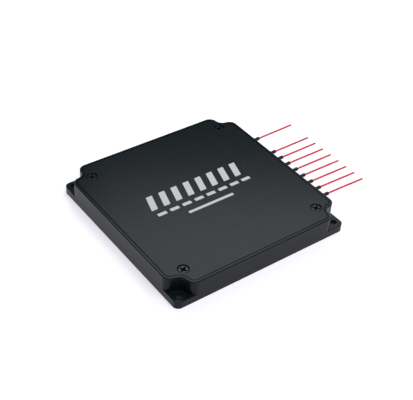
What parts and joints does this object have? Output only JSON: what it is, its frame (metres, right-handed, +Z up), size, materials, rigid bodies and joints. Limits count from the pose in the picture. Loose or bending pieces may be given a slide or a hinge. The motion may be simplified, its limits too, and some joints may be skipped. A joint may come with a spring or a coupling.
{
  "type": "plc fibre splitter",
  "caption": "Planar fibre splitter in a flat milled housing with scooped corners, mounting ears, a countersunk lid and tubed fibres leaving one side.",
  "frame": {"origin": "centre of the housing's underside", "axes": "+Z up through the lid, +X out of the wall that the tubes leave by, +Y towards the input tube"},
  "size_m": [0.1322, 0.1, 0.0117],
  "materials": {
    "housing_metal": "black anodised, finely blasted",
    "lid_metal": "black anodised, finely blasted",
    "screw_metal": "black oxide",
    "boot_rubber": "matt moulded rubber",
    "tube_jacket": "smooth red jacket",
    "block_plastic": "matt moulded plastic",
    "fibre_coating": "clear coating",
    "glass_blocks": "polished",
    "chip_silicon": "polished wafer",
    "soft_seal": "soft silicone",
    "sleeve_steel": "bright drawn steel",
    "adhesive_pad": "foam adhesive tape"
  },
  "bodies": {
    "root": {"base_housing": "housing_metal", "lid": "lid_metal", "lid_screws": "screw_metal", "input_block": "block_plastic", "fanout_block": "block_plastic", "input_fibre": "fibre_coating", "output_ribbon": "fibre_coating", "input_glass": "glass_blocks", "splitter_chip": "chip_silicon", "output_glass": "glass_blocks", "chip_bed": "soft_seal", "splitter_sleeve": "sleeve_steel", "input_seal": "soft_seal", "output_seal": "soft_seal", "sleeve_pad": "adhesive_pad", "input_boot": "boot_rubber", "input_tube": "tube_jacket", "output_boot_1": "boot_rubber", "output_tube_1": "tube_jacket", "output_boot_2": "boot_rubber", "output_tube_2": "tube_jacket", "output_boot_3": "boot_rubber", "output_tube_3": "tube_jacket", "output_boot_4": "boot_rubber", "output_tube_4": "tube_jacket", "output_boot_5": "boot_rubber", "output_tube_5": "tube_jacket", "output_boot_6": "boot_rubber", "output_tube_6": "tube_jacket", "output_boot_7": "boot_rubber", "output_tube_7": "tube_jacket", "output_boot_8": "boot_rubber", "output_tube_8": "tube_jacket"}
  },
  "joints": []
}
